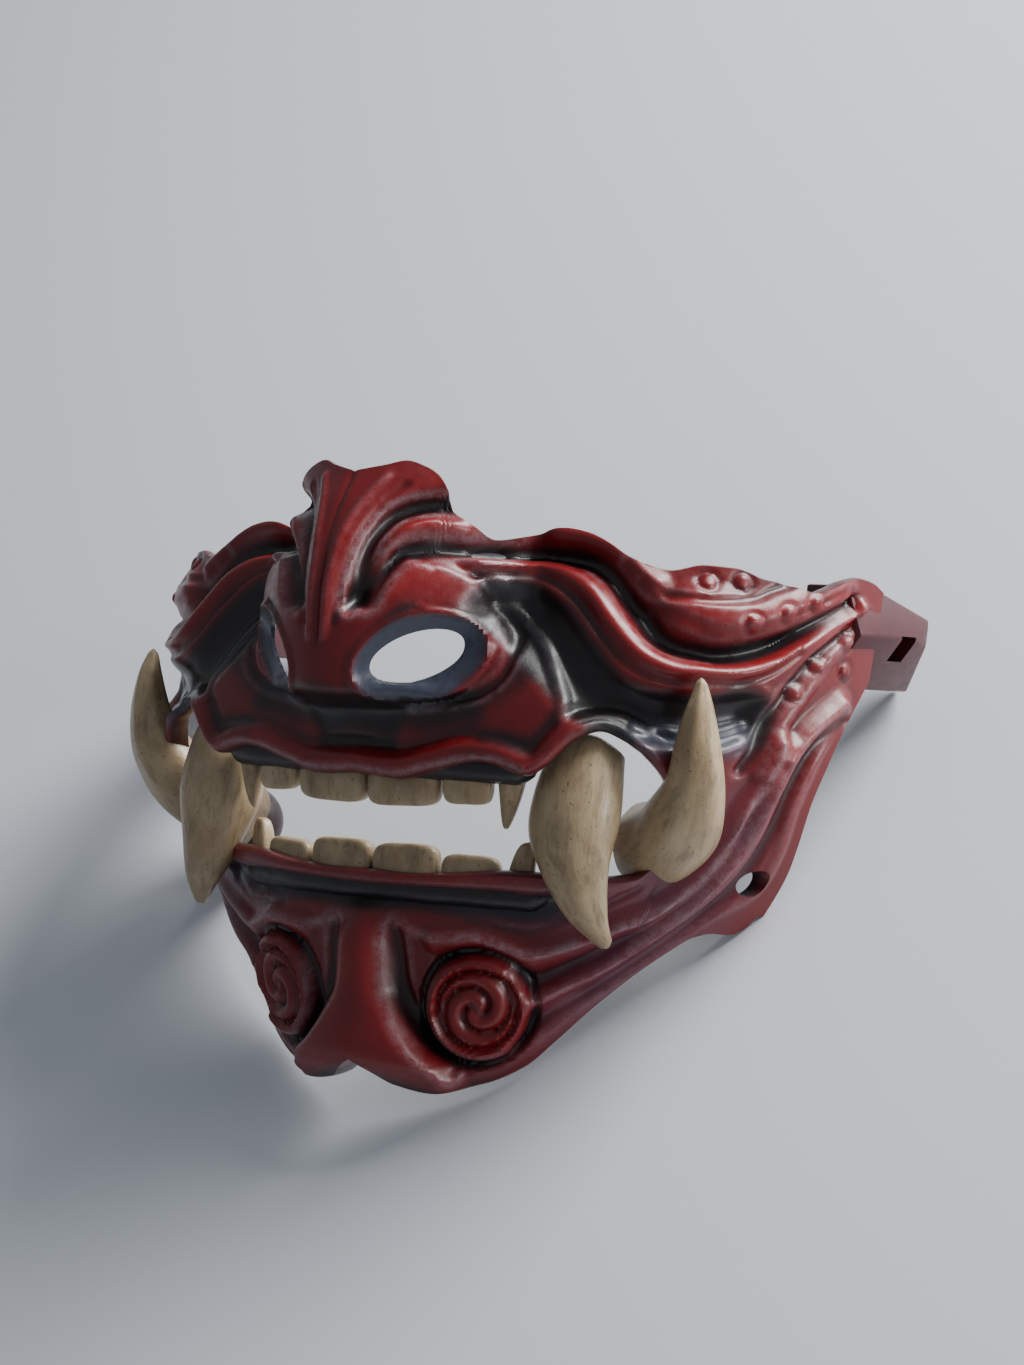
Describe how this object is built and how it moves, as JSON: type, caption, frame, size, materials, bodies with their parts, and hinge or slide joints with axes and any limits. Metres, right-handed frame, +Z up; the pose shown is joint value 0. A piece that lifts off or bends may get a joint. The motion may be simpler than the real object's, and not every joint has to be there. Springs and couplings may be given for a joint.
{
  "type": "samurai half mask with fangs",
  "caption": "Lacquered half mask covering nose, cheeks and jaw, with snarling teeth, curved fangs and tusks, and a strap lug at each side.",
  "frame": {"origin": "middle of the mask's box on the floor that it lies on", "axes": "+Z up from the floor; -Y the side that the face looks towards as it leans back; +X the wearer's left"},
  "size_m": [0.2, 0.1462, 0.1129],
  "materials": {
    "red_lacquer": "satin airbrushed lacquer, crimson on the raised forms and near black in the hollows",
    "bone": "satin ivory with brown stains"
  },
  "bodies": {
    "root": {"mask_shell": "red_lacquer", "upper_incisor_left": "bone", "upper_incisor_right": "bone", "upper_lateral_left": "bone", "upper_lateral_right": "bone", "upper_small_fang_left": "bone", "upper_small_fang_right": "bone", "lower_incisor_left": "bone", "lower_incisor_right": "bone", "lower_lateral_left": "bone", "lower_lateral_right": "bone", "lower_small_tusk_left": "bone", "lower_small_tusk_right": "bone", "upper_fang_left": "bone", "upper_fang_right": "bone", "lower_tusk_left": "bone", "lower_tusk_right": "bone"}
  },
  "joints": []
}
